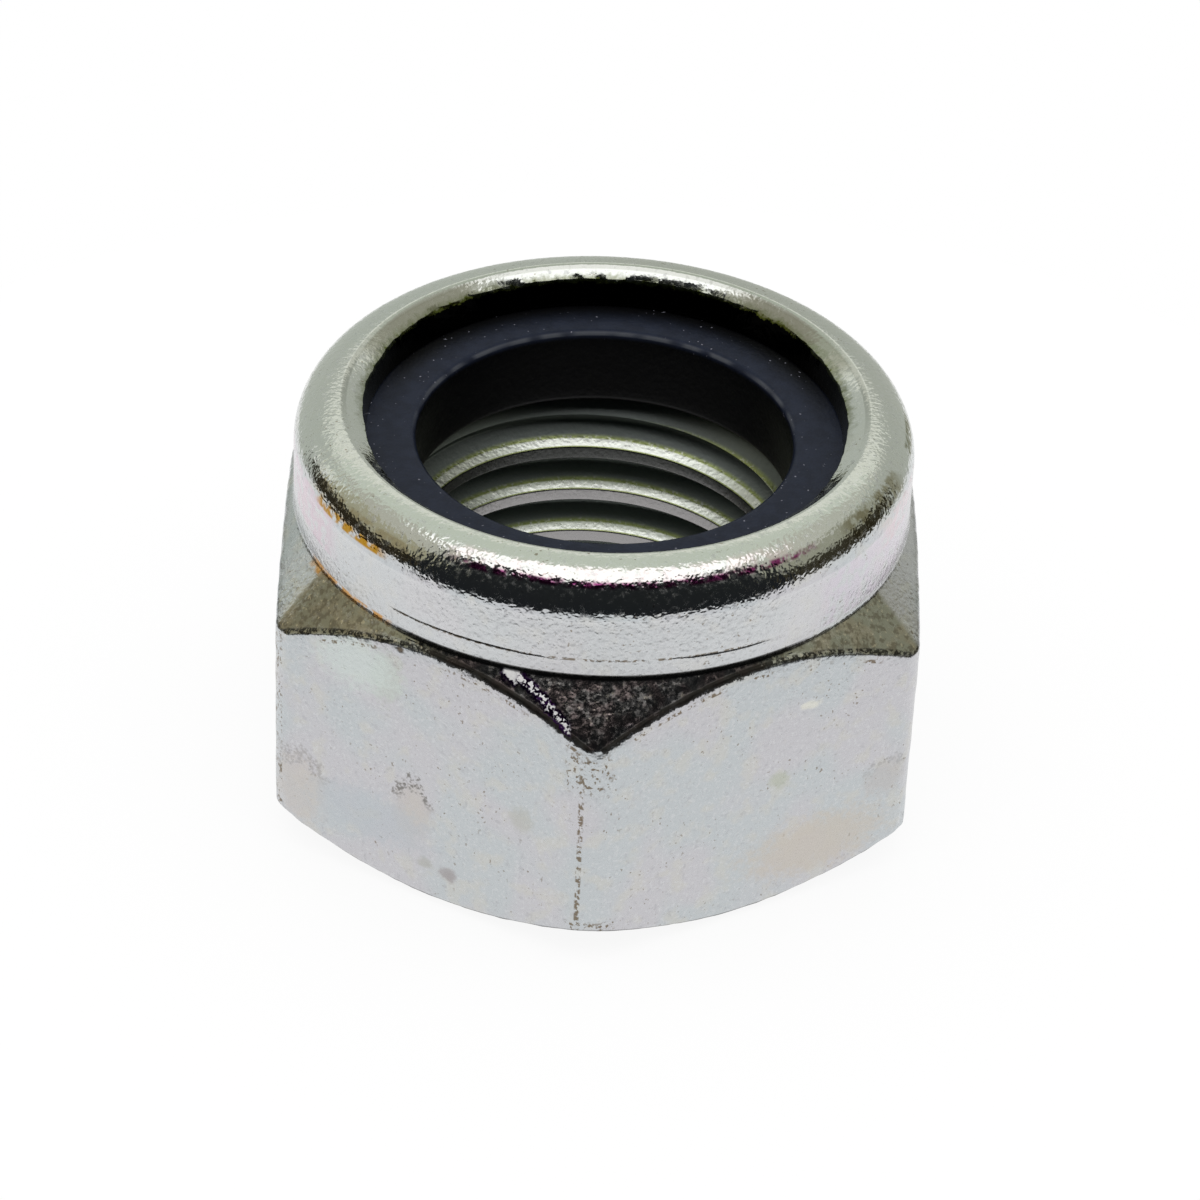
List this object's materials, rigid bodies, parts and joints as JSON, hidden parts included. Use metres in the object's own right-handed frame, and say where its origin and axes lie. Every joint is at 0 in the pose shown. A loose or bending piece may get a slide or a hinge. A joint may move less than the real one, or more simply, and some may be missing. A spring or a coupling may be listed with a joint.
{
  "type": "nylon insert lock nut",
  "caption": "Hexagonal lock nut with a coarse right-hand thread and a nylon ring held under the rolled rim of its collar, which grips the bolt",
  "frame": {"origin": "centre of the bearing face, on the thread axis", "axes": "+Z along the thread axis from the bearing face to the rolled rim; a corner of the hexagon points along -Y, and two flats face +X and -X"},
  "size_m": [0.024, 0.0274, 0.016],
  "materials": {
    "zinc_plated_steel": "bright zinc plate, satin on the flats and glossy on the rolled rim, with light storage stains",
    "dark_nylon": "dark blue-black nylon, smooth and semi-matte"
  },
  "bodies": {
    "root": {"nut_body": "zinc_plated_steel", "nylon_insert": "dark_nylon"}
  },
  "joints": []
}
